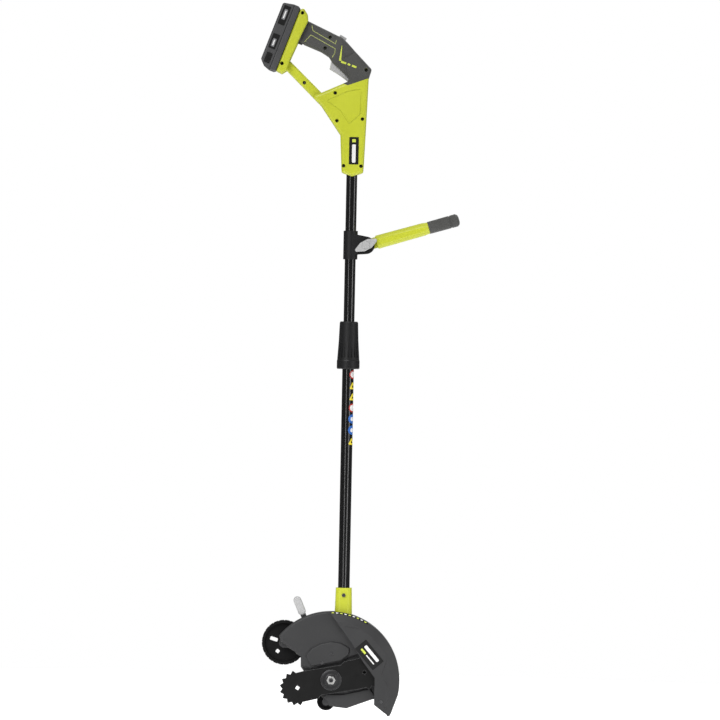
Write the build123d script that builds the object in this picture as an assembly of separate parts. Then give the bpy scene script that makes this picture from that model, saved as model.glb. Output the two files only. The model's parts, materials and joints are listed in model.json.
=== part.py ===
from build123d import *
from math import acos, cos, degrees, pi, radians, sin, tan
import os

# A battery lawn edger, in millimetres with +Z up along its shaft. It is drawn with the shaft's axis on
# x = y = 0 and the blade arbor's axis at z = 0, and is moved at the end so that the origin is the top of the
# D handle's opening, where a storage hook carries it. The side at -Y, where the blade is, is called near.

# ---------------------------------------------------------------- driving dimensions
ARBOR_X = -24.0           # the blade arbor's axis, behind the shaft's
HOOK_X, HOOK_Z = -100.0, 1387.4

GUARD_R = 150.0           # outside of the head, about the arbor
WALL = 3.0                # moulded shells
GAP = 0.3                 # between pieces of different bodies
RUN = 0.05                # radial clearance of a running fit

# the head's depths along Y
PLATE_Y = -12.0           # face of the back plate
BODY_Y = -20.0            # face of the raised upper body
COVER_Y = -24.5           # face of the gear bulge
SHIELD_Y = -47.0          # face of the shield
SKIRT_Y = 10.0            # rear edge of the rim

# the blade and its arbor
BLADE_R = 114.3           # a nine inch blade
BLADE_TURN = 14.2         # degrees above +X at rest
BLADE_END = 76.0          # from the arbor to the centre of each toothed end
TOOTH_PITCH = 22.0        # degrees about that centre
BLADE_T = 2.5
BLADE_BACK = -28.5
FLANGE_R = 22.7
FLANGE_T = 3.5
PILOT_R = 12.7
ARBOR_R = 5.0
ARBOR_FREE = 1.0          # thread left outside the nut
TIP_R, TIP_LEN = 4.2, 6.0  # the turned tip past the thread
NUT_AF, NUT_H = 17.0, 8.0
FLANGE_BACK = -23.6       # rear face of the inner flange, on the arbor's shoulder
NUT_BACK = BLADE_BACK - BLADE_T - FLANGE_T

# the gears and the motor
MODULE = 1.1
PINION_TEETH, GEAR_TEETH = 14, 62
GEAR_Y0, GEAR_Y1 = -6.5, 2.5
MOTOR_DIST = MODULE * (PINION_TEETH + GEAR_TEETH) / 2
MOTOR_ANGLE = 103.7
MOTOR_X = MOTOR_DIST * cos(radians(MOTOR_ANGLE))
MOTOR_Z = MOTOR_DIST * sin(radians(MOTOR_ANGLE))
MOTOR_R = 19.0
CASE_BACK = 15.0          # rear face of the gear case
MOTOR_BACK = 68.0

# the depth arm, its wheel and the roller, about the arbor
ARM_X, ARM_Z = -37.0, 77.0
ARM_Y0, ARM_Y1 = -2.0, 5.0
WHEEL_X, WHEEL_Z, WHEEL_R = -105.0, 78.6, 48.8
WHEEL_Y0, WHEEL_Y1 = 13.0, 39.0
LEVER_TIP_X, LEVER_TIP_Z = -80.3, 179.5
ROLLER_X, ROLLER_Z, ROLLER_R = -10.5, -49.2, 19.8
ROLLER_Y0, ROLLER_Y1 = 16.0, 34.0
AXLE_R = 5.0

# the shaft
TUBE_R, TUBE_BORE = 12.7, 12.0
INNER_R, INNER_BORE = 11.95, 10.9
TUBE_FOOT, TUBE_HEAD = 153.0, 752.0
INNER_FOOT, INNER_HEAD = 600.0, 1166.0
SOCKET_Z0, SOCKET_Z1 = 145.0, 202.0
COLLAR_Z0, COLLAR_Z1 = 682.2, 786.5
LEAD_R = 3.5

# the front handle
BRACKET_Z0, BRACKET_Z1 = 923.0, 985.6
BRACKET_R = 15.6
PIVOT_X, PIVOT_Z = 34.1, 954.5
BAR_TURN = 16.6
BAR_R = 15.0
BAR_SPLIT, BAR_END = 142.8, 212.0
EAR_R = 19.0

# the rear handle
NECK_HALF = 23.0          # half widths across Y
GRIP_HALF = 18.0
BRACE_HALF = 12.5
FOOT_HALF = 34.0
SKIN = 2.2                # soft grip moulding
TRIGGER_HALF = 7.0
TRIGGER_X, TRIGGER_Z = -5.0, 1320.0
TRIGGER_PRESS = 8.0
LOCK_X, LOCK_Z, LOCK_TURN = -26.0, 1408.0, 60.0

# the battery, along and out from the handle's foot
FOOT_X, FOOT_Z = -145.5, 1400.65
FOOT_TURN = 69.55         # the foot's face, degrees above +X
PACK_LOW, PACK_HIGH, PACK_OUT = -75.0, 77.0, 40.0
PACK_HALF = 36.5
STEM_AT, STEM_HALF, STEM_LEN = 15.0, 13.0, 32.0


# ---------------------------------------------------------------- helpers
def slab(face, y_near, y_far):
    """An X-Z outline extruded from y_near to y_far."""
    return extrude(Plane.XZ.offset(-y_far) * face, y_far - y_near)


def rod(x, z, r, y_near, y_far):
    return slab(Pos(x, z) * Circle(r), y_near, y_far)


def ring(x, z, r_out, r_in, y_near, y_far):
    return slab(Pos(x, z) * (Circle(r_out) - Circle(r_in)), y_near, y_far)


def post(r, z0, z1, x=0.0, y=0.0):
    """A cylinder along Z."""
    return Pos(x, y, (z0 + z1) / 2) * Cylinder(r, z1 - z0)


def pipe(r_out, r_in, z0, z1):
    return post(r_out, z0, z1) - post(r_in, z0 - 1, z1 + 1)


def outline(points):
    return make_face(Polyline(*points, close=True))


def rounded(points, radius):
    """A closed outline with rounded corners."""
    return make_face(FilletPolyline(*points, radius=radius, close=True))


def side_edges(solid):
    """The edges of a solid's outermost faces on its near and far sides."""
    faces = solid.faces().sort_by(Axis.Y)
    return faces[0].edges() + faces[-1].edges()


def soften(solid, edges, radius):
    """Rounds edges, and takes a smaller radius where the full one doesn't fit."""
    for share in (1.0, 0.75, 0.5, 0.3):
        try:
            done = fillet(edges, radius * share)
        except ValueError:
            continue
        if done.is_valid and done.volume > 0:
            return done
    return solid


def pillow(face, y_split, y_out, radius):
    """A slab from the split plane outwards, with its outer rim rounded."""
    body = slab(face, min(y_split, y_out), max(y_split, y_out))
    rim = body.faces().sort_by(Axis.Y)[0 if y_out < y_split else -1]
    return soften(body, rim.edges(), radius)


def polar(r, angle):
    return (r * cos(radians(angle)), r * sin(radians(angle)))


def hexagon(x, z, across_flats, y_near, y_far):
    return slab(Pos(x, z) * RegularPolygon(across_flats / 2, 6, major_radius=False), y_near, y_far)


def turned(profile, x=0.0, z=0.0):
    """Turns a profile of (radius, y) points about a line along Y through x, z."""
    face = make_face(Polyline(*[(r, y, 0) for r, y in profile], close=True))
    return Pos(x, 0, z) * revolve(face, Axis.Y)


def screw(x, z, r, y_tip, y_seat, y_top, head_r):
    """A screw along Y whose head lies between y_seat and y_top."""
    shank = rod(x, z, r, min(y_tip, y_seat), max(y_tip, y_seat))
    head = rod(x, z, head_r, min(y_seat, y_top), max(y_seat, y_top))
    drive = Pos(x, z) * RegularPolygon(head_r * 0.42, 6)
    depth = (y_seat - y_top) * 0.55
    return shank + head - slab(drive, min(y_top, y_top + depth), max(y_top, y_top + depth))


PARTS = {}


def add(name, shape):
    PARTS[name] = shape


def add_head(name, shape):
    """A piece that is drawn about the arbor."""
    PARTS[name] = Pos(ARBOR_X, 0, 0) * shape


def group(shapes):
    return Compound(children=[solid for shape in shapes for solid in shape.solids()])


# ---------------------------------------------------------------- the head: outlines about the arbor
STEPPED_EDGE = [(-160, 126.5), (-118.2, 101.2), (-111.8, 82.0), (-99.5, 74.0), (-98.4, 70.2), (-80.5, 60.0),
                (-78.3, 56.2), (-67.5, 50.0)]
PLATE_LOW = [(-66.7, 27.0), (-24.2, -34.0), (-2.2, -58.3), (34.9, -62.1), (90.0, -41.8), (147.0, -30.0)]
BODY_LOW = [(-67.0, 27.0), (-44.0, 22.5), (-24.0, 28.0), (22.0, 38.5), (37.0, 49.0), (60.0, 56.0),
            (112.0, 60.0)]
PANEL = [(-20.0, -31.5), (28.0, -31.0), (86.0, -17.0), (100.0, -38.0), (35.0, -60.0), (-1.5, -56.0)]
CRESCENT = [(-3.0, 160.0), (-3.0, 146.0), (44.4, 81.7), (68.3, 43.5), (95.3, 7.7), (95.5, -8.1),
            (94.9, -51.6), (129.6, -78.1), (147.0, -30.0), (170.0, -28.0), (170.0, 160.0)]
BULGE = [(-57.0, 52.0), (-44.0, 28.5), (-24.0, 32.0), (22.0, 42.5), (38.0, 56.0), (41.0, 70.0), (22.0, 81.0),
         (0.3, 84.3), (-24.0, 79.0), (-45.0, 68.0)]
BULGE_SCREWS = [(0.0, 57.0), (-20.3, 37.0)]
CASE_SCREWS = [(-30.0, -22.0), (33.0, -24.0), (38.0, 28.0), (-36.0, 31.0), (-12.0, 71.0), (13.0, 60.5)]
SHIELD_POSTS = [polar(134, 60), polar(134, 30), polar(134, -4)]
SHIELD_GROOVES = [(29.0, 119.0, 58.0, 114.0), (121.5, 47.0, 110.5, 14.0), (118.5, 1.0, 127.5, -12.0)]
SHIELD_RIB = (98.5, -39.5, 121.5, -58.5)
FLAP_SCREW = (110.0, -45.0)


def body_region():
    return outline(STEPPED_EDGE + BODY_LOW + [(170, 60), (170, 200), (-160, 200)])


def body_face():
    return Circle(GUARD_R) & body_region()


def plate_face():
    return Circle(GUARD_R) & outline(STEPPED_EDGE + PLATE_LOW + [(170, -30), (170, 200), (-160, 200)])


def case_face(margin=0.0):
    """The gear case: a belt round the gear and the motor, with an ear for each screw."""
    face = Circle(41 + margin) + Pos(MOTOR_X, MOTOR_Z) * Circle(26 + margin)
    for x, z in CASE_SCREWS:
        face += Pos(x, z) * Circle(7 + margin)
    return face


# ---------------------------------------------------------------- the head: fixed pieces
def head_body():
    """Back plate, raised upper body with a gear bulge, and the rim, which opens for the lever and socket."""
    inner = offset(body_face(), -WALL)
    shell = pillow(body_face(), PLATE_Y + WALL, BODY_Y, 5.0)
    shell -= slab(inner, BODY_Y + WALL, PLATE_Y + WALL + 1)
    shell += slab(plate_face() - inner, PLATE_Y, PLATE_Y + WALL)
    shell += slab(case_face(2.0) & plate_face(), PLATE_Y, PLATE_Y + WALL)
    shell += pillow(rounded(PANEL, 5.0), PLATE_Y + 1, PLATE_Y - 5.0, 3.0)
    rim = slab(Circle(GUARD_R) - Circle(GUARD_R - WALL), PLATE_Y, SKIRT_Y)
    shell += rim & slab(outline(STEPPED_EDGE[:2] + [(170, -20), (170, 200), (-160, 200)]), PLATE_Y, SKIRT_Y)
    shell += pillow(rounded(BULGE, 7.0), BODY_Y + 1, COVER_Y, 3.5)
    shell += ring(0, 0, 17.5, 12.0, -22.0, PLATE_Y + 1)
    shell += rod(ARM_X, ARM_Z, 9.0, BODY_Y + 1, ARM_Y0 - 0.5)
    shell += rod(ROLLER_X, ROLLER_Z, 8.0, PLATE_Y, ROLLER_Y0 - 0.5)
    for x, z in SHIELD_POSTS:
        shell += rod(x, z, 6.0, BODY_Y + 1, PLATE_Y + WALL) & slab(body_face(), BODY_Y, PLATE_Y + WALL)
    for x, z in BULGE_SCREWS + CASE_SCREWS:
        shell += rod(x, z, 5.5, BODY_Y + 1, PLATE_Y + WALL) & slab(plate_face(), BODY_Y, PLATE_Y + WALL)
    return shell - head_openings()


def head_openings():
    """Everything that is cut out of the head's body."""
    lever_slot = slab(outline([(-74, 110), (-24, 126), (-28, 160), (-84, 152)]), ARM_Y0 - 1.5, ARM_Y1 + 1.5)
    link_notch = slab(outline([(-80, 104), (-130, 70), (-145, 110), (-92, 142)]), ARM_Y0 - 1.5, SKIRT_Y + 1)
    socket = Pos(-ARBOR_X, -1.0, 140) * Box(36.6, 21.0, 40)
    cuts = lever_slot + link_notch + socket
    cuts += rod(0, 0, 13.0, -20.0, PLATE_Y + WALL + 1) + rod(0, 0, 8.0, -30, 0)
    cuts += rod(ARM_X, ARM_Z, AXLE_R, BODY_Y + 5, 0) + rod(ROLLER_X, ROLLER_Z, AXLE_R, PLATE_Y + 2, ROLLER_Y0)
    for x, z in BULGE_SCREWS:
        cuts += rod(x, z, 3.6, -30, BODY_Y + 0.5) + rod(x, z, 2.0, -30, 0)
    for x, z in CASE_SCREWS:
        cuts += rod(x, z, 1.9, BODY_Y + 4, 0)
    for x, z in SHIELD_POSTS:
        cuts += rod(x, z, 2.1, -30, 30)
    return cuts


def shield_skin():
    """A whole turned shell: flat face, sloped border and rim."""
    inner = GUARD_R - WALL
    return turned([(40, SHIELD_Y), (130, SHIELD_Y), (GUARD_R, -39), (GUARD_R, PLATE_Y), (inner, PLATE_Y),
                   (inner, -37.4), (129.4, SHIELD_Y + WALL), (40, SHIELD_Y + WALL)])


def shield():
    """The near wall over the blade's forward half, with shallow grooves and a rib on its face."""
    wall = shield_skin() & slab(outline(CRESCENT), -60, PLATE_Y)
    for line in SHIELD_GROOVES:
        wall -= slab(bar(*line, 0.9), SHIELD_Y - 1, SHIELD_Y + 0.8)
    wall += slab(bar(*SHIELD_RIB, 1.2), SHIELD_Y - 0.7, SHIELD_Y + 1)
    for x, z in SHIELD_POSTS:
        wall += rod(x, z, 5.5, -42.5, PLATE_Y) - rod(x, z, 1.9, -36, 0)
    x, z = FLAP_SCREW
    wall = wall - slab(body_region(), BODY_Y, 60)
    return wall - rod(x, z, 2.1, -60, 0) - rod(x, z, 3.6, -60, SHIELD_Y + 1.2)


def debris_flap():
    """A rubber flap behind the shield: a tab at its lower end and a side wall along the straight facet."""
    tab = slab(outline([(98, -36), (98, -49.6), (128.0, -74), (139, -42), (118, -28)]), -43.9, -40.5)
    side = slab(outline([(143.2, -31.5), (126.6, -77.0), (123.6, -76.0), (139.8, -31.5)]), -43.9, 6.0)
    fold = slab(outline([(118, -58), (126.5, -76), (143.5, -31.5), (124, -31.5)]), -43.9, -34.5)
    border = turned([(129.4, SHIELD_Y + WALL), (GUARD_R - WALL, -37.4), (160, -37.4), (160, -60),
                     (129.4, -60)])
    x, z = FLAP_SCREW
    return tab + side + fold - shield_skin() - border - rod(x, z, 1.9, -60, 0)


def gear_case():
    """The rear cup round the gears, with the rear bearing's boss and the motor's opening."""
    y0 = PLATE_Y + WALL
    cup = slab(case_face(), y0, CASE_BACK)
    cup -= slab(Circle(38) + Pos(MOTOR_X, MOTOR_Z) * Circle(22), y0 - 1, CASE_BACK - WALL)
    cup += rod(0, 0, 17.0, 4.5, CASE_BACK)
    cup -= rod(0, 0, 13.0, 0, 13.0) + rod(MOTOR_X, MOTOR_Z, 10.0, 0, CASE_BACK + 1)
    for x, z in CASE_SCREWS:
        cup -= rod(x, z, 2.1, -20, 30) + rod(x, z, 4.2, CASE_BACK - 8, 30)
    return cup


def motor_cover():
    """The vented cup over the motor."""
    cup = turned([(0, 76), (18, 76), (24, 70), (24, CASE_BACK), (21.5, CASE_BACK), (21.5, 69), (17, 73.5),
                  (0, 73.5)], MOTOR_X, MOTOR_Z)
    for row in (30, 54):
        for step in range(12):
            x, z = polar(24, step * 30)
            slot = Pos(MOTOR_X + x, row, MOTOR_Z + z) * Rot(0, -step * 30, 0) * Box(10, 14, 3)
            cup -= slot
    return cup


def motor_can():
    y0 = CASE_BACK
    can = ring(MOTOR_X, MOTOR_Z, MOTOR_R, MOTOR_R - 2, y0, MOTOR_BACK)
    can += rod(MOTOR_X, MOTOR_Z, MOTOR_R, y0, y0 + 2)
    can += rod(MOTOR_X, MOTOR_Z, MOTOR_R, MOTOR_BACK - 2, MOTOR_BACK)
    can += rod(MOTOR_X, MOTOR_Z, 6.0, y0, y0 + 6) + rod(MOTOR_X, MOTOR_Z, 6.0, MOTOR_BACK - 6, MOTOR_BACK + 2)
    return can - rod(MOTOR_X, MOTOR_Z, 1.6 + RUN, 0, MOTOR_BACK)


def bearing(y0, y1):
    """A sealed ball bearing on the arbor, as its two races and shields in one envelope."""
    body = ring(0, 0, 13.0, ARBOR_R + RUN, y0, y1)
    groove = ring(0, 0, 11.2, 7.0, y0 - 1, y0 + 0.4) + ring(0, 0, 11.2, 7.0, y1 - 0.4, y1 + 1)
    return body - groove


def shaft_socket():
    """The lime socket that carries the shaft on top of the head, and its foot inside the rim."""
    tower = loft([Plane.XY.offset(SOCKET_Z0 - 2) * RectangleRounded(38, 36, 12),
                  Plane.XY.offset(SOCKET_Z1) * RectangleRounded(35, 33, 12)])
    tower -= slab(Pos(ARBOR_X, 0) * Circle(GUARD_R + 0.05), -60, 60)
    foot = Pos(0, -0.8, 132) * Box(36, 20, 40)
    bore = post(TUBE_R, TUBE_FOOT, 300) + post(5, 100, 300)
    window = Pos(0, 0, 118) * Box(24, 30, 8)
    return tower + foot - bore - window - rod(0, 186, 2.1, -60, 0)


def head_screws():
    """The self-tapping screws of the head: bulge, gear case, shield, flap and socket."""
    near = [(x, z, BODY_Y + 0.5) for x, z in BULGE_SCREWS]
    screws = [screw(x, z, 1.85, -13, y, y - 2.4, 3.5) for x, z, y in near]
    screws += [screw(x, z, 1.85, -14, CASE_BACK - 8, CASE_BACK - 5, 3.9) for x, z in CASE_SCREWS]
    screws += [screw(x, z, 1.85, -30, PLATE_Y + WALL, PLATE_Y + WALL + 3, 3.9) for x, z in SHIELD_POSTS]
    screws.append(screw(*FLAP_SCREW, 1.85, -40.5, SHIELD_Y + 1.2, SHIELD_Y - 1.2, 3.5))
    screws.append(Pos(-ARBOR_X, 0, 0) * screw(0, 186, 2.0, -12.8, -18.0, -20.4, 4.0))
    return group(screws)


# ---------------------------------------------------------------- the head: what turns
def involute_gear(teeth, y0, y1, phase, bore):
    """A spur gear with involute flanks and a little backlash; phase is a tooth's direction."""
    pitch_r = MODULE * teeth / 2
    base_r = pitch_r * cos(radians(20))
    root_r = pitch_r - 1.25 * MODULE
    tip_r = pitch_r + MODULE

    def flank(r):
        """Half of a tooth's angle at radius r, in degrees."""
        involute = tan(acos(min(1, base_r / max(r, base_r)))) - acos(min(1, base_r / max(r, base_r)))
        at_pitch = tan(radians(20)) - radians(20)
        return degrees((pi / 2 - 0.06) / teeth + at_pitch - involute)

    radii = [root_r, max(root_r, base_r) + 0.05, pitch_r, tip_r]
    points = []
    for tooth in range(teeth):
        middle = phase + tooth * 360 / teeth
        points += [polar(r, middle - flank(r)) for r in radii]
        points += [polar(r, middle + flank(r)) for r in reversed(radii)]
    return slab(outline(points) - Circle(bore), y0, y1)


def output_gear():
    gear = involute_gear(GEAR_TEETH, GEAR_Y0, GEAR_Y1, MOTOR_ANGLE, ARBOR_R)
    web = ring(0, 0, 29, 10, GEAR_Y0 - 1, GEAR_Y0 + 2.5) + ring(0, 0, 29, 10, GEAR_Y1 - 2.5, GEAR_Y1 + 1)
    return gear - web


def pinion():
    """The pinion; it has a gap where the gear has a tooth."""
    phase = MOTOR_ANGLE + 180 + 180 / PINION_TEETH
    return Pos(MOTOR_X, 0, MOTOR_Z) * involute_gear(PINION_TEETH, GEAR_Y0 - 0.5, GEAR_Y1 + 1, phase, 1.6)


def rotor():
    """The motor's shaft, laminated core and commutator."""
    shaft = rod(MOTOR_X, MOTOR_Z, 1.6, GEAR_Y0 - 1, MOTOR_BACK - 0.5)
    core = rod(MOTOR_X, MOTOR_Z, 13.5, 25, 50)
    for pole in range(5):
        x, z = polar(13.5, pole * 72)
        core -= rod(MOTOR_X + x, MOTOR_Z + z, 3.2, 24, 51)
    return shaft + core + rod(MOTOR_X, MOTOR_Z, 5.0, 50, 59)


def arbor():
    """The output shaft, with a shoulder for the blade flanges, a threaded near end and a turned tip."""
    thread_end = NUT_BACK - NUT_H - ARBOR_FREE
    tip_end = thread_end - TIP_LEN
    shaft = rod(0, 0, ARBOR_R, thread_end, 12.8) + rod(0, 0, 7.0, FLANGE_BACK, -20.5)
    tip = turned([(0, tip_end), (TIP_R - 0.5, tip_end), (TIP_R, tip_end + 0.5), (TIP_R, thread_end),
                  (0, thread_end)])
    return shaft + tip


def blade_outline():
    """Two toothed round ends joined by a waist; the outline is the same turned half a turn."""
    half = [(54.0, -33.0)]
    for tooth in range(-4, 5):
        angle = tooth * TOOTH_PITCH
        half.append(polar_from(BLADE_END, 33.0, angle - 0.46 * TOOTH_PITCH))
        half.append(polar_from(BLADE_END, 38.3, angle - 0.06 * TOOTH_PITCH))
        half.append(polar_from(BLADE_END, 38.3, angle + 0.06 * TOOTH_PITCH))
    half += [polar_from(BLADE_END, 33.0, 4.46 * TOOTH_PITCH), (37.0, 33.0), (28.0, 27.0)]
    return outline(half + [(-x, -z) for x, z in half])


def polar_from(x, r, angle):
    return (x + r * cos(radians(angle)), r * sin(radians(angle)))


def blade():
    face = blade_outline() - Circle(PILOT_R)
    for side in (-1, 1):
        face -= Pos(side * (BLADE_END - 0.5), 0) * Rot(0, 0, 45) * RectangleRounded(7.6, 7.6, 1.0)
    face = Rot(0, 0, BLADE_TURN) * face
    return slab(face, BLADE_BACK - BLADE_T, BLADE_BACK)


def inner_flange():
    """The flange behind the blade, with the pilot that centres it."""
    body = rod(0, 0, FLANGE_R, BLADE_BACK, FLANGE_BACK)
    body += rod(0, 0, PILOT_R - 0.02, BLADE_BACK - BLADE_T + 0.2, BLADE_BACK)
    return body - rod(0, 0, ARBOR_R, -40, 0)


def outer_flange():
    y0 = NUT_BACK
    dish = turned([(ARBOR_R, y0), (11, y0), (13, y0 + 1), (20, y0 + 1), (FLANGE_R, y0 + 2),
                   (FLANGE_R, y0 + FLANGE_T), (ARBOR_R, y0 + FLANGE_T)])
    for step in range(2):
        x, z = polar(16.5, 45 + 180 * step)
        dish -= rod(x, z, 1.6, -50, 0)
    return dish


def blade_nut():
    nut = hexagon(0, 0, NUT_AF, NUT_BACK - NUT_H, NUT_BACK)
    cone = turned([(0, NUT_BACK - NUT_H), (8.2, NUT_BACK - NUT_H), (10.2, NUT_BACK - NUT_H + 1.2),
                   (10.2, NUT_BACK), (0, NUT_BACK)])
    return (nut & cone) - rod(0, 0, ARBOR_R, -60, 0)


# ---------------------------------------------------------------- the depth arm and the wheels
def arm_line(share):
    """A point on the lever, from the pivot at 0 to its tip at 1."""
    return (ARM_X + (LEVER_TIP_X - ARM_X) * share, ARM_Z + (LEVER_TIP_Z - ARM_Z) * share)


def bar(ax, az, bx, bz, half):
    """A flat link between two points, with round ends."""
    return make_hull((Pos(ax, az) * Circle(half)).edges() + (Pos(bx, bz) * Circle(half)).edges())


def depth_arm():
    """One steel plate: the link to the wheel, the lever and the wheel's stub axle."""
    face = bar(ARM_X, ARM_Z, WHEEL_X, WHEEL_Z, 11.0) + bar(ARM_X, ARM_Z, *arm_line(0.86), 6.0)
    face += Pos(ARM_X, ARM_Z) * Circle(13.0)
    plate = slab(face, ARM_Y0, ARM_Y1)
    plate += rod(WHEEL_X, WHEEL_Z, 10.0, ARM_Y1, WHEEL_Y0 - GAP)
    plate += rod(WHEEL_X, WHEEL_Z, AXLE_R, ARM_Y1, WHEEL_Y1 + 0.6)
    return plate - rod(ARM_X, ARM_Z, AXLE_R + RUN, -10, 20) - rod(WHEEL_X, WHEEL_Z, 2.0, 20, 60)


def lever_knob():
    """The light grip on the lever's end."""
    ax, az = arm_line(0.70)
    bx, bz = arm_line(0.93)
    grip = slab(bar(ax, az, bx, bz, 8.7), ARM_Y0 - 4, ARM_Y1 + 4)
    grip = soften(grip, side_edges(grip), 4.0)
    return grip - slab(bar(ARM_X, ARM_Z, *arm_line(0.86), 6.0), ARM_Y0, ARM_Y1)


def wheel_screw():
    return screw(WHEEL_X, WHEEL_Z, 2.0, WHEEL_Y1 - 12, WHEEL_Y1 + 0.6, WHEEL_Y1 + 3.6, 8.0)


def arm_pivot():
    """The shoulder bolt that the depth arm turns on."""
    head_y = ARM_Y1 + 0.5
    return rod(ARM_X, ARM_Z, AXLE_R, BODY_Y + 5, head_y) + rod(ARM_X, ARM_Z, 9.0, head_y, head_y + 3)


def roller_axle():
    y1 = ROLLER_Y1 + 0.5
    return rod(ROLLER_X, ROLLER_Z, AXLE_R, PLATE_Y + 2, y1) + rod(ROLLER_X, ROLLER_Z, 8.0, y1, y1 + 3)


def depth_wheel():
    """Hub, web with two slots and two small windows, and a drum rim with a ribbed tread."""
    x, z = WHEEL_X, WHEEL_Z
    wheel = ring(x, z, WHEEL_R, WHEEL_R - 6, WHEEL_Y0, WHEEL_Y1) + rod(x, z, WHEEL_R - 5, 22, 27)
    wheel += rod(x, z, 11.0, WHEEL_Y0, WHEEL_Y1)
    for turn in (0, 180):
        slot = Rot(0, 0, turn + 163) * Pos(23.5, 0) * RectangleRounded(17, 8, 2)
        window = Rot(0, 0, turn + 235) * Pos(24.0, 0) * RectangleRounded(8, 8, 2)
        wheel -= Pos(x, 0, z) * slab(slot + window, 20, 30)
    for step in range(24):
        px, pz = polar(WHEEL_R + 0.6, step * 15)
        wheel -= rod(x + px, z + pz, 1.6, 0, 60)
    return wheel - rod(x, z, AXLE_R + RUN, 0, 60)


def roller():
    x, z = ROLLER_X, ROLLER_Z
    wheel = rod(x, z, ROLLER_R, ROLLER_Y0, ROLLER_Y1) - ring(x, z, 15.5, 9.0, ROLLER_Y1 - 5, ROLLER_Y1 + 1)
    wheel -= ring(x, z, 15.5, 9.0, ROLLER_Y0 - 1, ROLLER_Y0 + 5)
    return wheel - rod(x, z, AXLE_R + RUN, -20, 60)


# ---------------------------------------------------------------- the shaft
def twist_collar():
    """The ribbed nut that squeezes the collet; its bottom band is plain."""
    z0, z1 = COLLAR_Z0, COLLAR_Z1
    skin = [(12.5, z1), (18.5, z1), (20.2, z1 - 3), (21.6, z1 - 42), (24.3, z0 + 20), (25.0, z0 + 18),
            (25.0, z0 + 2), (23.5, z0), (13.1, z0)]
    bore = [(13.1, z0 + 10), (16.5, z0 + 10), (16.5, z0 + 82), (12.5, z0 + 90)]
    face = make_face(Polyline(*[(r, 0, z) for r, z in skin + bore], close=True))
    nut = revolve(face, Axis.Z)
    for step in range(20):
        x, y = polar(24.6, step * 18)
        flute = Pos(x * 0.93, y * 0.93, (z0 + z1) / 2 + 10) * Rot(0, 0, step * 18) * Box(2.4, 2.2, 74)
        nut -= flute
    return nut


def collar_sleeve():
    """The threaded sleeve that is fixed on the lower tube."""
    sleeve = pipe(15.9, TUBE_R, 694, 748)
    for step in range(8):
        sleeve -= pipe(17, 15.2, 700 + step * 5, 702 + step * 5)
    return sleeve


def collet():
    """A split ring that grips the inner tube."""
    body = pipe(15.6, INNER_R + RUN, TUBE_HEAD + 0.5, 766)
    return body - Pos(12, 0, 760) * Box(12, 2, 30)


# ---------------------------------------------------------------- the front handle
def handle_bracket():
    """The sleeve on the inner tube, with two ears for the bar's pivot."""
    sleeve = pipe(BRACKET_R, INNER_R + 0.05, BRACKET_Z0, BRACKET_Z1)
    ears = Pos(PIVOT_X, PIVOT_Z) * Circle(EAR_R)
    ears += outline([(2, BRACKET_Z0 + 10), (2, BRACKET_Z1 - 6), (36, PIVOT_Z + EAR_R), (36, PIVOT_Z - EAR_R)])
    block = slab(ears, -15.4, 15.4) - slab(ears, -9.0, 9.0)
    web = [(8, BRACKET_Z0 + 12), (8, BRACKET_Z1 - 8), (16.2, PIVOT_Z + 22), (16.2, PIVOT_Z - 22)]
    block = (block + slab(outline(web), -10, 10)) - post(INNER_R + 1, 900, 1000)
    bolt_way = rod(PIVOT_X, PIVOT_Z, 4.0 + RUN, -30, 30) + hexagon(PIVOT_X, PIVOT_Z, 13.2, 12.0, 30)
    return sleeve + block - bolt_way


def pivot_bolt():
    """A carriage bolt with its nut in the far ear; the knob turns on its near end."""
    bolt = rod(PIVOT_X, PIVOT_Z, 4.0, -26.0, 15.0)
    return bolt + hexagon(PIVOT_X, PIVOT_Z, 13.0, 12.0, 18.0)


def wing_knob():
    """A long lozenge with a raised hub."""
    half = 32.5
    corners = [(-half, 0), (-9, 10.5), (9, 10.5), (half, 0), (9, -10.5), (-9, -10.5)]
    face = rounded(corners, [4, 8, 8, 4, 8, 8])
    wing = slab(face, -26.5, -17.0)
    wing = soften(wing, wing.faces().sort_by(Axis.Y)[0].edges(), 3.0)
    knob = wing + rod(0, 0, 10.0, -17.0, -15.7) + rod(0, 0, 8.0, -29.0, -26.5)
    knob = knob - rod(0, 0, 4.0 + RUN, -26.3, 0)
    return Pos(PIVOT_X, 0, PIVOT_Z) * Rot(0, -28.7, 0) * knob


def along_bar(shape):
    return Pos(PIVOT_X, 0, PIVOT_Z) * Rot(0, -BAR_TURN, 0) * shape


def bar_solid(profile):
    """Turns (distance, radius) points about the bar's line."""
    face = make_face(Polyline(*[(u, r, 0) for u, r in profile], close=True))
    return revolve(face, Axis.X)


def front_bar():
    """The lime root and arm of the front handle, with the flat hub between the bracket's ears."""
    arm = bar_solid([(24, 0), (24, BAR_R - 2), (26, BAR_R), (80, BAR_R - 0.4), (BAR_SPLIT - 12, BAR_R - 0.8),
                     (BAR_SPLIT, BAR_R - 2.5), (BAR_SPLIT, 0)])
    arm &= Pos(100, 0, 0) * Box(200, 2 * BAR_R - 3, 60)
    hub = rod(0, 0, EAR_R - 2, -8.7, 8.7) + Pos(14, 0, 0) * Box(26, 17.4, 24)
    core = bar_solid([(60, 0), (60, 8), (140, 8), (140, 0)])
    return along_bar(arm + hub - rod(0, 0, 4.0 + RUN, -30, 30) - core)


def front_grip():
    """The dark sleeve on the bar's outer end, with shallow rings near the tip."""
    r = BAR_R - 1.4
    end = BAR_END
    grip = bar_solid([(BAR_SPLIT + 0.1, 0), (BAR_SPLIT + 0.1, r), (end - 22, r + 0.4), (end - 21, r - 0.6),
                      (end - 19, r - 0.6), (end - 18, r + 0.4), (end - 6, r + 0.4), (end - 1.5, r - 3),
                      (end, r - 8), (end, 0)])
    return along_bar(grip)


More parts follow.
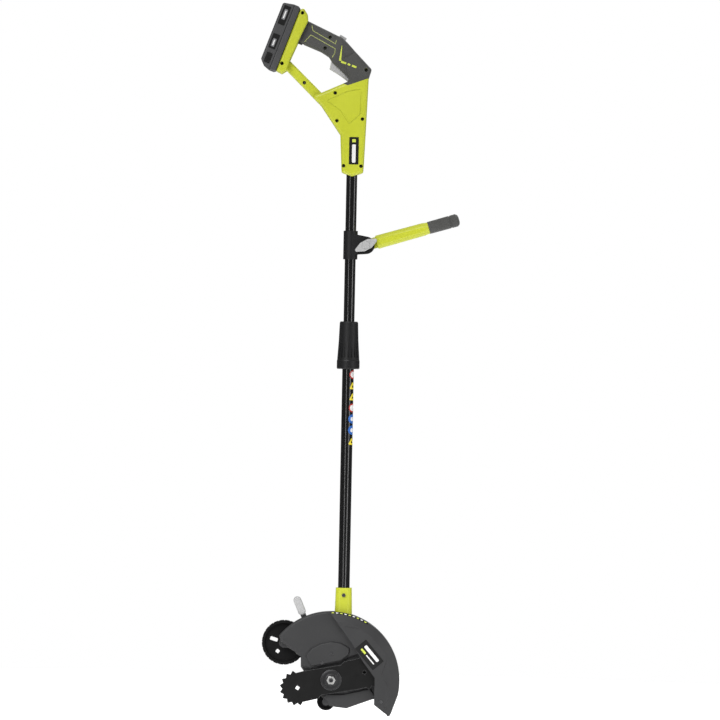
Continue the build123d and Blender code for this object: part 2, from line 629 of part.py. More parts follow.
# ---------------------------------------------------------------- the rear handle
NECK = [(-22.7, 1113.0), (0.0, 1104.5), (24.6, 1113.0), (26.0, 1132.0), (30.0, 1235.0), (33.0, 1320.0),
        (39.3, 1340.0), (3.0, 1378.0), (-26.0, 1362.0), (-11.0, 1326.0), (-12.0, 1313.0), (-23.2, 1307.9),
        (-69.7, 1287.2), (-92.0, 1280.0), (-70.0, 1258.1), (-26.9, 1194.9), (-23.7, 1131.0)]
GRIP = [(39.0, 1339.0), (-15.3, 1398.3), (-27.6, 1409.5), (-36.5, 1412.8), (-97.8, 1441.8), (-116.0, 1449.0),
        (-131.0, 1400.0), (-121.5, 1396.2), (-71.8, 1376.0), (-55.4, 1365.6), (-47.9, 1354.0),
        (-12.0, 1321.0), (20.0, 1322.0)]
BRACE = [(-67.5, 1255.3), (-147.2, 1334.1), (-162.0, 1344.0), (-140.3, 1355.8), (-69.7, 1287.2),
         (-50.0, 1284.0), (-50.0, 1256.0)]
FOOT = [(-120.5, 1467.7), (-170.5, 1333.6), (-158.0, 1327.2), (-147.0, 1334.0), (-141.0, 1355.1),
        (-118.9, 1406.1), (-102.0, 1442.8), (-103.4, 1457.1), (-112.0, 1470.5)]
SOFT_EDGE = [(60.0, 1326.0), (33.0, 1320.6), (-12.3, 1304.3), (-23.2, 1307.9), (-40.0, 1330.0),
             (-52.0, 1352.0), (-60.0, 1350.0), (-123.5, 1396.0), (-119.0, 1406.5), (-102.0, 1442.8),
             (-95.0, 1460.0), (60.0, 1440.0)]
NECK_PANEL = [(-8.0, 1218.0), (17.0, 1242.0), (18.0, 1297.0), (-14.0, 1291.0), (-60.0, 1270.0),
              (-27.0, 1247.0)]
REGIONS = [(NECK, NECK_HALF, 7.0, 5.0), (GRIP, GRIP_HALF, 12.0, 3.0), (BRACE, BRACE_HALF, 7.0, 2.0),
           (FOOT, FOOT_HALF, 6.0, 2.0)]
HOUSING_SCREWS = [(-114.9, 1460.6), (-157.9, 1349.0), (-108.1, 1308.5), (-40.0, 1287.0), (-35.0, 1226.2),
                  (20.7, 1230.8), (-18.6, 1127.7), (19.6, 1127.4), (-53.5, 1409.0), (-64.0, 1385.0),
                  (27.0, 1338.5)]
TRIGGER = [(-53.3, 1339.2), (-50.5, 1355.5), (-40.0, 1358.0), (-12.0, 1338.0), (-1.0, 1326.0), (-1.0, 1314.5),
           (-8.0, 1313.0), (-13.6, 1313.5), (-23.7, 1321.1), (-38.0, 1330.5)]


def handle_solid(side, inset):
    """One half of the rear handle, on the near (-1) or far (+1) side, shrunk by an inset."""
    whole = None
    for points, half, radius, corner in REGIONS:
        face = rounded(points, corner)
        if inset:
            face = offset(face, -inset)
        block = pillow(face, 0, side * (half - inset), max(radius - inset, 1.0))
        whole = block if whole is None else whole + block
    return whole


def side_slab(face, side, depth):
    return slab(face, min(0, side * depth), max(0, side * depth))


def foot_place(shape):
    """Places a shape drawn with +X up along the foot's face and +Z out of it, away from the grip."""
    return Pos(FOOT_X, 0, FOOT_Z) * Rot(0, -FOOT_TURN, 0) * shape


def trigger_sweep(margin):
    """The room that the trigger takes from released to pressed, as its outline at every degree."""
    room = None
    for turn in range(int(TRIGGER_PRESS) + 1):
        spot = Pos(TRIGGER_X, TRIGGER_Z) * Rot(0, 0, -turn) * Pos(-TRIGGER_X, -TRIGGER_Z)
        face = spot * offset(outline(TRIGGER), margin)
        room = face if room is None else room + face
    return room


def handle_openings():
    """Cut-outs that both halves share: trigger, lock button, battery stem and the tube's bore."""
    cuts = slab(trigger_sweep(0.7), -TRIGGER_HALF - 0.5, TRIGGER_HALF + 0.5)
    cuts += lock_place(Pos(0, 0, -2) * Box(17.2, 11.2, 14))
    socket = Pos(STEM_AT, 0, 0) * Box(2 * STEM_HALF + 0.8, 2 * STEM_HALF + 0.8, 2 * (STEM_LEN + 3))
    return cuts + foot_place(socket) + post(INNER_R, 1000, INNER_HEAD + 0.1)


def lock_place(shape):
    """Places a shape drawn about the lock button, with +Z out of the grip."""
    return Pos(LOCK_X, 0, LOCK_Z) * Rot(0, 90 - LOCK_TURN, 0) * shape


def tube_ribs(side):
    """Ribs that hold the inner tube in the neck, and its end stop."""
    ribs = side_slab(outline([(-21, 1109), (21, 1109), (21, 1115), (-21, 1115)]), side, NECK_HALF - 1)
    ribs += side_slab(outline([(-21, 1142), (21, 1142), (21, 1146), (-21, 1146)]), side, NECK_HALF - 1)
    return ribs + side_slab(outline([(-21, 1163), (23, 1163), (23, 1170), (-21, 1170)]), side, NECK_HALF - 1)


def soft_skin(side, outer, mid):
    region = side_slab(outline(SOFT_EDGE), side, 60)
    return (outer & region) - mid


def handle_half(side):
    """The hard shell and the soft skin of one side."""
    outer = handle_solid(side, 0)
    mid = handle_solid(side, SKIN)
    inner = handle_solid(side, SKIN + WALL)
    skin = soft_skin(side, outer, mid)
    bosses = None
    for x, z in HOUSING_SCREWS:
        boss = side_slab(Pos(x, z) * Circle(6.2), side, 60)
        bosses = boss if bosses is None else bosses + boss
    shell = outer - skin - inner
    shell += bosses & mid
    pin_boss = side_slab(Pos(TRIGGER_X, TRIGGER_Z) * Circle(5.5), side, 60)
    shell += (tube_ribs(side) + pin_boss) & mid
    shell -= handle_openings() + post(LEAD_R + 1, 1150, 1180) + trigger_pin()
    panel = rounded(NECK_PANEL, 4.0)
    groove = panel - offset(panel, -1.6)
    shell -= side_slab(groove, side, 60) - side_slab(groove, side, NECK_HALF - 0.8)
    skin -= handle_openings() + trigger_pin()
    holes = None
    for x, z in HOUSING_SCREWS:
        hole = rod(x, z, 2.0, -60, 14) if side < 0 else rod(x, z, 1.9, -60, 10)
        if side < 0:
            hole += rod(x, z, 3.9, -60, -7.0)
        holes = hole if holes is None else holes + hole
    return shell - holes, skin - holes


def housing_screws():
    return group([screw(x, z, 1.85, 9.5, -7.0, -10.2, 3.7) for x, z in HOUSING_SCREWS])


def trigger():
    body = slab(outline(TRIGGER), -TRIGGER_HALF, TRIGGER_HALF)
    low = body.faces().sort_by(Axis.Y)
    body = soften(body, low[0].edges() + low[-1].edges(), 2.0)
    return body - rod(TRIGGER_X, TRIGGER_Z, 2.0 + RUN, -20, 20)


def trigger_pin():
    return rod(TRIGGER_X, TRIGGER_Z, 2.0, -11.0, 11.0)


def lock_button():
    button = lock_place(Pos(0, 0, 0.5) * Box(16.0, 10.0, 8.0))
    return soften(button, button.edges(), 1.2)


def trigger_switch():
    """A sealed slide switch behind the trigger."""
    spot = Pos(-13.8, 0, 1359.2) * Rot(0, 43.2, 0)
    return spot * (Box(28, 15, 13) + Pos(0, 0, -7) * Box(6, 5, 2) + Pos(17, 3, 2) * Box(6, 1, 5))


def control_board():
    """The speed control board, with its capacitor and its switching transistors."""
    board = Pos(-5, 0, 1262) * Box(32, 1.6, 66)
    board += Pos(-12, -6, 1282) * Box(10, 10.5, 18) + Pos(3, -3, 1282) * Box(9, 4.5, 14)
    return board + Pos(3, -3, 1258) * Box(9, 4.5, 14)


def battery_terminals():
    """The contact block at the end of the stem's socket, and its two blades."""
    plate = foot_place(Pos(STEM_AT, 0, -STEM_LEN - 1.8) * Box(18, 20, 2))
    blades = [foot_place(Pos(STEM_AT, side * 5, -STEM_LEN + 3.2) * Box(6, 1, 8)) for side in (-1, 1)]
    return plate, group(blades)


# ---------------------------------------------------------------- the battery
def pack_layer(out0, out1):
    """A layer of the pack's side outline, between two heights out of the foot."""
    return [(PACK_LOW, out0), (PACK_LOW + 5, out1 - 10), (PACK_LOW + 15, out1), (PACK_HIGH - 5, out1),
            (PACK_HIGH, out0)]


def battery_case():
    """The tray against the foot, with the stem."""
    low, high = PACK_LOW, PACK_HIGH
    tray = slab(outline([(low + 3, GAP), (low, 5), (low, 15), (high, 15), (high, 5), (high - 3, GAP)]),
                -PACK_HALF, PACK_HALF)
    tray = soften(tray, side_edges(tray), 3.0)
    tray -= Pos(1, 0, 13) * Box(140, 66, 18)
    stem = Pos(STEM_AT, 0, 1.5 - STEM_LEN / 2) * Box(2 * STEM_HALF, 2 * STEM_HALF, STEM_LEN + 3)
    stem = soften(stem, stem.faces().sort_by(Axis.Z)[0].edges(), 2.0)
    for side in (-1, 1):
        stem -= Pos(STEM_AT, side * 5, -STEM_LEN + 3) * Box(7, 2, 12)
    return foot_place(tray + stem)


def battery_cover():
    """The outer cover, with the two panels on each side and the latches' wells."""
    cover = slab(outline(pack_layer(15.1, PACK_OUT)), -PACK_HALF, PACK_HALF)
    cover = soften(cover, cover.faces().sort_by(Axis.Z)[-1].edges(), 5.0)
    cover -= Pos(1, 0, 24) * Box(134, 67, 24)
    for side in (-1, 1):
        cover -= Pos(-52, side * PACK_HALF, 26) * Box(22.6, 10, 12.6)
        for middle, length in ((47, 44), (-14, 34)):
            cover -= Pos(middle, side * (PACK_HALF + 0.2), 27) * Box(length, 1.6, 16)
    return foot_place(cover)


def battery_cells():
    """Five cells in a row, lying across the pack."""
    cells = []
    for column in range(5):
        cells.append(foot_place(rod(-30 + column * 21, 20.0, 9.2, -32.5, 32.5)))
    return group(cells)


def battery_latch(side):
    button = Pos(-52, side * (PACK_HALF - 1.2), 26) * Box(22.0, 6.0, 12.0)
    return foot_place(soften(button, button.edges().filter_by(Axis.Y), 2.0))


# ---------------------------------------------------------------- the whole object
def build_head():
    add_head("head_body", head_body())
    add_head("shield", shield())
    add_head("debris_flap", debris_flap())
    add_head("gear_case", gear_case())
    add_head("motor_cover", motor_cover())
    add_head("motor_can", motor_can())
    add_head("front_bearing", bearing(-20.0, -12.0))
    add_head("rear_bearing", bearing(5.0, 13.0))
    add_head("head_screws", head_screws())
    add("shaft_socket", shaft_socket())
    add_head("arbor", arbor())
    add_head("output_gear", output_gear())
    add_head("inner_flange", inner_flange())
    add_head("blade", blade())
    add_head("outer_flange", outer_flange())
    add_head("blade_nut", blade_nut())
    add_head("motor_rotor", rotor())
    add_head("pinion", pinion())
    add_head("depth_arm", depth_arm())
    add_head("lever_knob", lever_knob())
    add_head("wheel_screw", wheel_screw())
    add_head("arm_pivot", arm_pivot())
    add_head("roller_axle", roller_axle())
    add_head("depth_wheel", depth_wheel())
    add_head("roller", roller())


def build_shaft():
    add("lower_tube", pipe(TUBE_R, TUBE_BORE, TUBE_FOOT, TUBE_HEAD))
    add("upper_tube", pipe(INNER_R, INNER_BORE, INNER_FOOT, INNER_HEAD))
    add("twist_collar", twist_collar())
    add("collar_sleeve", collar_sleeve())
    add("collet", collet())
    add("lead_lower", post(LEAD_R, 124, 200))
    add("coiled_lead", pipe(8.5, 5.0, 200, 590))
    add("lead_upper", post(LEAD_R, 590, 1229))


def build_front_handle():
    add("handle_bracket", handle_bracket())
    add("pivot_bolt", pivot_bolt())
    add("wing_knob", wing_knob())
    add("front_bar", front_bar())
    add("front_grip", front_grip())


def build_rear_handle():
    for name, side in (("near", -1), ("far", 1)):
        shell, skin = handle_half(side)
        add("housing_" + name, shell)
        add("grip_" + name, skin)
    add("housing_screws", housing_screws())
    add("trigger", trigger())
    add("trigger_pin", trigger_pin())
    add("lock_button", lock_button())
    add("trigger_switch", trigger_switch())
    add("control_board", control_board())
    plate, blades = battery_terminals()
    add("terminal_block", plate)
    add("terminal_blade", blades)


def build_battery():
    add("battery_case", battery_case())
    add("battery_cover", battery_cover())
    add("battery_cells", battery_cells())
    add("latch_near", battery_latch(-1))
    add("latch_far", battery_latch(1))


def main():
    os.makedirs("parts", exist_ok=True)
    build_head()
    build_shaft()
    build_front_handle()
    build_rear_handle()
    build_battery()
    for name, shape in PARTS.items():
        export_step(Pos(-HOOK_X, 0, -HOOK_Z) * shape, "parts/" + name + ".step")


main()
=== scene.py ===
import json
import math

import bmesh
import bpy
from mathutils import Matrix, Vector
from mathutils.bvhtree import BVHTree


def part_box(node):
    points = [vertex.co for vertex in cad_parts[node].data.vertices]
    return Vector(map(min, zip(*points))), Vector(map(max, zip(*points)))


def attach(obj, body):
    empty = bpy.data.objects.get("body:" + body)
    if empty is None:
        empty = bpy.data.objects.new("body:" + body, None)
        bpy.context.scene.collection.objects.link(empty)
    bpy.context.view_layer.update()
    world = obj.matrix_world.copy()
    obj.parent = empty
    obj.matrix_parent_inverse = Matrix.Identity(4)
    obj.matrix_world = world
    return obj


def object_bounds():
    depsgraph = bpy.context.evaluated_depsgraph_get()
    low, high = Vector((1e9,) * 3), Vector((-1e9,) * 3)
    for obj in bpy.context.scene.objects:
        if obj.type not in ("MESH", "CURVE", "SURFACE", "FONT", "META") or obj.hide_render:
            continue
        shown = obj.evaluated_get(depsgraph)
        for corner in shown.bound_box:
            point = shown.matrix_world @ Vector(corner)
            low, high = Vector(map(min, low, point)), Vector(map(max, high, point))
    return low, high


# The looks of a battery lawn edger. Places come from the boxes of the CAD nodes, and the outlines of the thin
# applied pieces are in millimetres. The near side, with the blade and the shield, faces -Y.

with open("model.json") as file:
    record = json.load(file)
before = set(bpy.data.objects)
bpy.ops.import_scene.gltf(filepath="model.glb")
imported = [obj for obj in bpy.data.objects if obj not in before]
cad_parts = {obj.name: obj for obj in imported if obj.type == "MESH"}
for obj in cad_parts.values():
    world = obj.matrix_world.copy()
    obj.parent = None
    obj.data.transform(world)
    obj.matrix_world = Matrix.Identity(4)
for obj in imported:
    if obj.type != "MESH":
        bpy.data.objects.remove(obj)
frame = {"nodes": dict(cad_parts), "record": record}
CAD_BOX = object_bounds()
CAD_FLOOR = CAD_BOX[0][2]

MM = 0.001
NEAR, FAR = -1, 1


def middle(node):
    low, high = (Vector(corner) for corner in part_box(node))
    return (low + high) / 2


def lowest(node):
    return Vector(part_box(node)[0])


def highest(node):
    return Vector(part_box(node)[1])


SHAFT = middle("lower_tube")
ARBOR = middle("blade_nut")
TUBE_R = (highest("lower_tube") - lowest("lower_tube")).x / 2


# ---------------------------------------------------------------- camera
def make_camera():
    """A long lens, square to the near side and about halfway up, leaning a degree."""
    distance, half_view, lean = 14.0, 0.7905, 0.0195
    beside_shaft, above_foot = 0.0258, 0.5495
    target = Vector((SHAFT.x + beside_shaft, 0.0, lowest("lower_tube").z + above_foot))
    camera = bpy.data.objects.new("camera", bpy.data.cameras.new("camera"))
    camera.data.sensor_width = 36.0
    camera.data.angle = 2 * math.atan(half_view / distance)
    right = Vector((1.0, 0.0, lean)).normalized()
    up = Vector((-lean, 0.0, 1.0)).normalized()
    back = Vector((0.0, -1.0, 0.0))
    turn = Matrix((right, up, back)).transposed()
    camera.matrix_world = Matrix.Translation(target + back * distance) @ turn.to_4x4()
    bpy.context.scene.collection.objects.link(camera)
    bpy.context.scene.camera = camera
    bpy.context.scene.view_settings.view_transform = "Standard"


make_camera()


# ---------------------------------------------------------------- material nodes
EDGE_SHARPNESS = 9.0      # how quickly an edge mask rises to one


class Shader:
    """A Principled material and short calls that add its nodes."""

    def __init__(self, name):
        self.material = bpy.data.materials.new(name)
        self.material.use_nodes = True
        self.tree = self.material.node_tree
        self.main = self.tree.nodes["Principled BSDF"]
        self.place = self.add("ShaderNodeTexCoord").outputs["Object"]

    def add(self, kind, **settings):
        node = self.tree.nodes.new(kind)
        for key, value in settings.items():
            setattr(node, key, value)
        return node

    def link(self, source, target):
        self.tree.links.new(source, target)

    def noise(self, scale, detail=3.0, rough=0.5, stretch=None):
        node = self.add("ShaderNodeTexNoise")
        node.inputs["Scale"].default_value = scale
        node.inputs["Detail"].default_value = detail
        node.inputs["Roughness"].default_value = rough
        self.link(self.stretched(stretch) if stretch else self.place, node.inputs["Vector"])
        return node.outputs["Fac"]

    def stretched(self, factors):
        node = self.add("ShaderNodeMapping")
        node.inputs["Scale"].default_value = factors
        self.link(self.place, node.inputs["Vector"])
        return node.outputs["Vector"]

    def cells(self, scale):
        node = self.add("ShaderNodeTexVoronoi", feature="SMOOTH_F1")
        node.inputs["Scale"].default_value = scale
        self.link(self.place, node.inputs["Vector"])
        return node.outputs["Distance"]

    def remap(self, value, low, high, new_low, new_high):
        node = self.add("ShaderNodeMapRange")
        self.link(value, node.inputs["Value"])
        node.inputs["From Min"].default_value = low
        node.inputs["From Max"].default_value = high
        node.inputs["To Min"].default_value = new_low
        node.inputs["To Max"].default_value = new_high
        return node.outputs["Result"]

    def blend(self, factor, first, second):
        """Mixes two colours, each a tuple or a socket."""
        node = self.add("ShaderNodeMix", data_type="RGBA")
        self.link(factor, node.inputs["Factor"])
        for socket, colour in ((node.inputs[6], first), (node.inputs[7], second)):
            if isinstance(colour, tuple):
                socket.default_value = (*colour, 1.0)
            else:
                self.link(colour, socket)
        return node.outputs[2]

    def combine(self, kind, first, second):
        node = self.add("ShaderNodeMath", operation=kind)
        for socket, value in zip(node.inputs, (first, second)):
            if isinstance(value, (int, float)):
                socket.default_value = value
            else:
                self.link(value, socket)
        return node.outputs["Value"]

    def rounded_normal(self, radius):
        node = self.add("ShaderNodeBevel", samples=4)
        node.inputs["Radius"].default_value = radius
        return node.outputs["Normal"]

    def edges(self, radius):
        """One along edges within a radius, falling to nothing on flat faces."""
        geometry = self.add("ShaderNodeNewGeometry")
        dot = self.add("ShaderNodeVectorMath", operation="DOT_PRODUCT")
        self.link(self.rounded_normal(radius), dot.inputs[0])
        self.link(geometry.outputs["Normal"], dot.inputs[1])
        off = self.combine("SUBTRACT", 1.0, dot.outputs["Value"])
        return self.remap(off, 0.0, 1.0 / EDGE_SHARPNESS, 0.0, 1.0)

    def relief(self, height, strength, distance, round_edges=0.0004):
        """Bump on top of slightly rounded edges."""
        bump = self.add("ShaderNodeBump")
        bump.inputs["Strength"].default_value = strength
        bump.inputs["Distance"].default_value = distance
        self.link(height, bump.inputs["Height"])
        if round_edges:
            self.link(self.rounded_normal(round_edges), bump.inputs["Normal"])
        self.link(bump.outputs["Normal"], self.main.inputs["Normal"])

    def set(self, **values):
        """Sets or links the main node's inputs, with _ for a space in their names."""
        for key, value in values.items():
            socket = self.main.inputs[key.replace("_", " ")]
            if isinstance(value, (int, float)):
                socket.default_value = value
            elif isinstance(value, tuple):
                socket.default_value = (*value, 1.0)
            else:
                self.link(value, socket)
        return self.material


BARE_STEEL = (0.62, 0.62, 0.63)


def scaled(colour, factor):
    return tuple(min(1.0, part * factor) for part in colour)


def toned(shader, noise, low, high, colour, dark, light):
    """A colour that a noise shifts between a darker and a lighter tone."""
    return shader.blend(shader.remap(noise, low, high, 0.0, 1.0), scaled(colour, dark), scaled(colour, light))


def moulded(name, colour, roughness, grain=1500.0, depth=0.00006, vary=0.08, wear=0.0, gloss=0.45):
    """Moulded plastic: spark-eroded grain, faint flow tone, and edges that handling has polished."""
    shader = Shader(name)
    tone = toned(shader, shader.noise(9.0, detail=4.0), 0.35, 0.65, colour, 1 - vary, 1 + vary)
    if wear:
        mask = shader.combine("MULTIPLY", shader.edges(0.0009), wear)
        tone = shader.blend(mask, tone, scaled(colour, 2.2))
    fine = shader.noise(grain, detail=2.0)
    shine = shader.remap(shader.noise(30.0, detail=1.0), 0.3, 0.7, roughness - 0.03, roughness + 0.04)
    shader.relief(fine, 0.35, depth)
    return shader.set(Base_Color=tone, Roughness=shine, Specular_IOR_Level=gloss)


def soft_rubber(name, colour, roughness=0.72):
    """Soft-touch moulding with a leathery cell grain."""
    shader = Shader(name)
    cells = shader.cells(900.0)
    fine = shader.noise(3200.0, detail=2.0)
    height = shader.combine("ADD", cells, shader.combine("MULTIPLY", fine, 0.4))
    rub = shader.remap(shader.noise(24.0, detail=5.0, rough=0.6), 0.35, 0.7, 0.0, 1.0)
    tone = shader.blend(rub, scaled(colour, 0.88), scaled(colour, 1.14))
    shader.relief(height, 0.5, 0.00015, round_edges=0.0006)
    shine = shader.remap(rub, 0.0, 1.0, roughness + 0.06, roughness - 0.06)
    material = shader.set(Base_Color=tone, Roughness=shine, Specular_IOR_Level=0.35, Sheen_Weight=0.12)
    shader.main.inputs["Sheen Roughness"].default_value = 0.6
    return material


def powder_coat(name, colour, roughness):
    """Gloss powder coat on a tube: faint orange peel under a clear gloss."""
    shader = Shader(name)
    peel = shader.noise(160.0, detail=1.0)
    dust = shader.noise(30.0, detail=1.0)
    shader.relief(peel, 0.03, 0.00003, round_edges=0.0)
    tone = shader.blend(shader.remap(dust, 0.45, 0.75, 0.0, 0.4), colour, scaled(colour, 1.8))
    shine = shader.remap(dust, 0.3, 0.8, roughness, roughness + 0.02)
    return shader.set(Base_Color=tone, Roughness=shine, Coat_Weight=0.6, Coat_Roughness=0.14)


def brushed(name, colour, roughness, stretch, bright_edges=0.0, metallic=1.0, gloss=0.5):
    """Machined or ground steel: fine lines along one direction, and bright metal where edges have rubbed."""
    shader = Shader(name)
    lines = shader.noise(260.0, detail=4.0, rough=0.7, stretch=stretch)
    stain = shader.noise(30.0, detail=5.0, rough=0.6)
    tone = toned(shader, stain, 0.35, 0.7, colour, 0.8, 1.2)
    if bright_edges:
        mask = shader.combine("MULTIPLY", shader.edges(0.0011), bright_edges)
        tone = shader.blend(mask, tone, BARE_STEEL)
    shine = shader.remap(lines, 0.3, 0.7, roughness - 0.08, roughness + 0.1)
    shader.relief(lines, 0.25, 0.00003)
    return shader.set(Base_Color=tone, Roughness=shine, Metallic=metallic, Specular_IOR_Level=gloss)


def printed(name, colour, roughness=0.32):
    """A printed film: an even ink with faint mottling under a thin clear layer."""
    shader = Shader(name)
    mottle = shader.noise(900.0, detail=2.0)
    tone = toned(shader, mottle, 0.3, 0.7, colour, 0.95, 1.03)
    shader.relief(mottle, 0.08, 0.00002, round_edges=0.0)
    shader.set(Specular_IOR_Level=0.25, Coat_Weight=0.08, Coat_Roughness=0.15)
    return shader.set(Base_Color=tone, Roughness=roughness)


LIME = (0.51, 0.55, 0.030)
HEAD_GREY = (0.031, 0.031, 0.032)
SOFT_GREY = (0.058, 0.058, 0.055)
LIGHT_GREY = (0.42, 0.42, 0.42)

MATERIALS = {
    "lime_plastic": moulded("lime_plastic", LIME, 0.34, vary=0.05),
    "soft_grip": soft_rubber("soft_grip", SOFT_GREY),
    "steel_screw": brushed("steel_screw", (0.05, 0.05, 0.052), 0.38, (1, 1, 1), bright_edges=0.4),
    "light_plastic": moulded("light_plastic", LIGHT_GREY, 0.4, vary=0.04),
    "black_plastic": moulded("black_plastic", (0.007, 0.007, 0.0075), 0.42, wear=0.12, gloss=0.3),
    "battery_plastic": moulded("battery_plastic", (0.055, 0.055, 0.057), 0.45, wear=0.12),
    "cell_wrap": moulded("cell_wrap", (0.05, 0.16, 0.3), 0.3),
    "board_green": moulded("board_green", (0.02, 0.14, 0.05), 0.3),
    "copper_contact": brushed("copper_contact", (0.75, 0.45, 0.25), 0.3, (1, 1, 8)),
    "black_tube": powder_coat("black_tube", (0.003, 0.003, 0.0032), 0.16),
    "lead_sheath": soft_rubber("lead_sheath", (0.02, 0.02, 0.02), 0.5),
    "head_plastic": moulded("head_plastic", HEAD_GREY, 0.46, grain=1300.0, depth=0.0001, vary=0.08, wear=0.2,
                            gloss=0.3),
    "rubber_flap": soft_rubber("rubber_flap", (0.05, 0.05, 0.051), 0.7),
    "case_plastic": moulded("case_plastic", (0.02, 0.02, 0.021), 0.5, wear=0.12, gloss=0.35),
    "motor_steel": brushed("motor_steel", (0.45, 0.45, 0.46), 0.35, (1, 8, 1)),
    "machined_steel": brushed("machined_steel", (0.035, 0.035, 0.036), 0.42, (1, 1, 1), bright_edges=0.35),
    "blade_steel": brushed("blade_steel", (0.007, 0.007, 0.007), 0.45, (1, 1, 9), bright_edges=0.3, metallic=0.3,
                           gloss=0.2),
    "zinc_nut": brushed("zinc_nut", (0.50, 0.50, 0.49), 0.26, (1, 4, 1)),
    "arm_steel": powder_coat("arm_steel", (0.012, 0.012, 0.013), 0.3),
    "wheel_plastic": moulded("wheel_plastic", (0.004, 0.004, 0.0042), 0.5, wear=0.06, gloss=0.12),
}
PRINTS = {
    "print_black": printed("print_black", (0.004, 0.004, 0.004), 0.5),
    "print_white": printed("print_white", (0.78, 0.78, 0.77)),
    "print_lime": printed("print_lime", (0.58, 0.66, 0.09)),
    "print_pale_lime": printed("print_pale_lime", (0.42, 0.46, 0.16)),
    "print_yellow": printed("print_yellow", (0.80, 0.66, 0.05)),
    "print_red": printed("print_red", (0.45, 0.035, 0.03)),
    "print_blue": printed("print_blue", (0.03, 0.13, 0.45)),
    "print_grey": printed("print_grey", (0.20, 0.20, 0.21)),
}


def dress_frame():
    """Gives each CAD node the material of its slot in the record."""
    for row in frame["record"]["subparts"]:
        mesh = frame["nodes"][row["node"]].data
        mesh.materials.clear()
        mesh.materials.append(MATERIALS[row["material_slot"]])


dress_frame()


# ---------------------------------------------------------------- outlines and applied pieces
def turn_corner(before, corner, after, radius, steps=5):
    """The points of one rounded corner."""
    corner, before, after = Vector(corner), Vector(before), Vector(after)
    back, ahead = (before - corner).normalized(), (after - corner).normalized()
    half = back.angle(ahead) / 2
    reach = min(radius / math.tan(half), 0.48 * min((before - corner).length, (after - corner).length))
    first, last = corner + back * reach, corner + ahead * reach
    centre = corner + (back + ahead).normalized() * reach / math.cos(half)
    start, sweep = first - centre, (first - centre).angle_signed(last - centre)
    return [centre + Matrix.Rotation(-sweep * step / steps, 2) @ start for step in range(steps + 1)]


def rounded(points, radius):
    """An outline with every corner rounded."""
    made = []
    for index, corner in enumerate(points):
        made += turn_corner(points[index - 1], corner, points[(index + 1) % len(points)], radius)
    return made


def box_outline(x, z, width, height, turn=0.0, radius=0.0):
    """A rectangle about a point, turned by some degrees."""
    spin = Matrix.Rotation(math.radians(turn), 2)
    corners = [(-1, -1), (1, -1), (1, 1), (-1, 1)]
    points = [Vector((x, z)) + spin @ Vector((a * width / 2, b * height / 2)) for a, b in corners]
    return rounded(points, radius) if radius else points


def circle_outline(x, z, radius, steps=40):
    return [(x + radius * math.cos(math.tau * i / steps), z + radius * math.sin(math.tau * i / steps))
            for i in range(steps)]


def stroke_outline(path, start_width, end_width):
    """The outline of a line along a path whose width changes evenly; its corners are mitred."""
    path = [Vector(point) for point in path]
    left, right = [], []
    for index, point in enumerate(path):
        into = (point - path[index - 1]).normalized() if index else (path[1] - point).normalized()
        out = (path[index + 1] - point).normalized() if index + 1 < len(path) else into
        normal = Vector((-(into + out).y, (into + out).x)).normalized()
        width = start_width + (end_width - start_width) * index / (len(path) - 1)
        reach = width / 2 / max(0.4, normal.dot(Vector((-into.y, into.x))))
        left.append(point + normal * reach)
        right.append(point - normal * reach)
    return left + right[::-1]


SINK = 0.25               # millimetres that an applied piece goes into its surface
SOFT_RIM = 0.12           # the widest rim bevel of an applied piece, in millimetres
SHARP_ANGLE = math.radians(32)


def cut_grid(made, step):
    """Cuts a flat face into cells, so that it can be bent."""
    for axis in (0, 1):
        places = [vert.co[axis] for vert in made.verts]
        count = int((max(places) - min(places)) / step)
        for index in range(1, count + 1):
            spot, normal = Vector((0, 0, 0)), Vector((0, 0, 0))
            spot[axis] = min(places) + (max(places) - min(places)) * index / (count + 1)
            normal[axis] = 1.0
            everything = made.verts[:] + made.edges[:] + made.faces[:]
            bmesh.ops.bisect_plane(made, geom=everything, plane_co=spot, plane_no=normal)


def raise_outline(points, wrap, height, step):
    """One thin closed piece: an outline raised off its surface, with a softened rim, and wrapped on."""
    made = bmesh.new()
    made.faces.new([made.verts.new((point[0], point[1], -SINK)) for point in points])
    if step:
        cut_grid(made, step)
    grown = bmesh.ops.extrude_face_region(made, geom=made.faces[:], use_keep_orig=True)["geom"]
    for vert in [part for part in grown if isinstance(part, bmesh.types.BMVert)]:
        vert.co.z = height
    rim = [edge for edge in made.edges if all(vert.co.z > 0 for vert in edge.verts)
           and any(min(vert.co.z for vert in face.verts) < 0 for face in edge.link_faces)]
    bmesh.ops.bevel(made, geom=rim, offset=min(SOFT_RIM, height * 0.45), segments=2, affect="EDGES")
    for vert in made.verts:
        vert.co = wrap(*vert.co)
    bmesh.ops.triangulate(made, faces=made.faces[:])
    bmesh.ops.recalc_face_normals(made, faces=made.faces[:])
    return made


def applied(name, outlines, wrap, height, look, body, step=None):
    """A thin raised piece of one or more outlines, in millimetres on its surface; step is its grid on a curve."""
    mesh = bpy.data.meshes.new(name)
    whole = bmesh.new()
    for points in outlines:
        part = bpy.data.meshes.new("part")
        made = raise_outline(points, wrap, height, step)
        made.to_mesh(part)
        made.free()
        whole.from_mesh(part)
        bpy.data.meshes.remove(part)
    whole.to_mesh(mesh)
    whole.free()
    mesh.materials.append(PRINTS.get(look) or MATERIALS[look])
    mesh.shade_smooth()
    mesh.set_sharp_from_angle(angle=SHARP_ANGLE)
    piece = bpy.data.objects.new(name, mesh)
    bpy.context.scene.collection.objects.link(piece)
    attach(piece, body)


WELL_OUTSIDE = 0.2        # metres from the middle plane, past every side
FOOT_TURN = math.radians(69.55)     # the slope of the foot that holds the battery


def on_plane(origin, across, along, out):
    """Places (across, along, out) in millimetres on a plane."""
    return lambda u, v, h: origin + (across * u + along * v + out * h) * MM


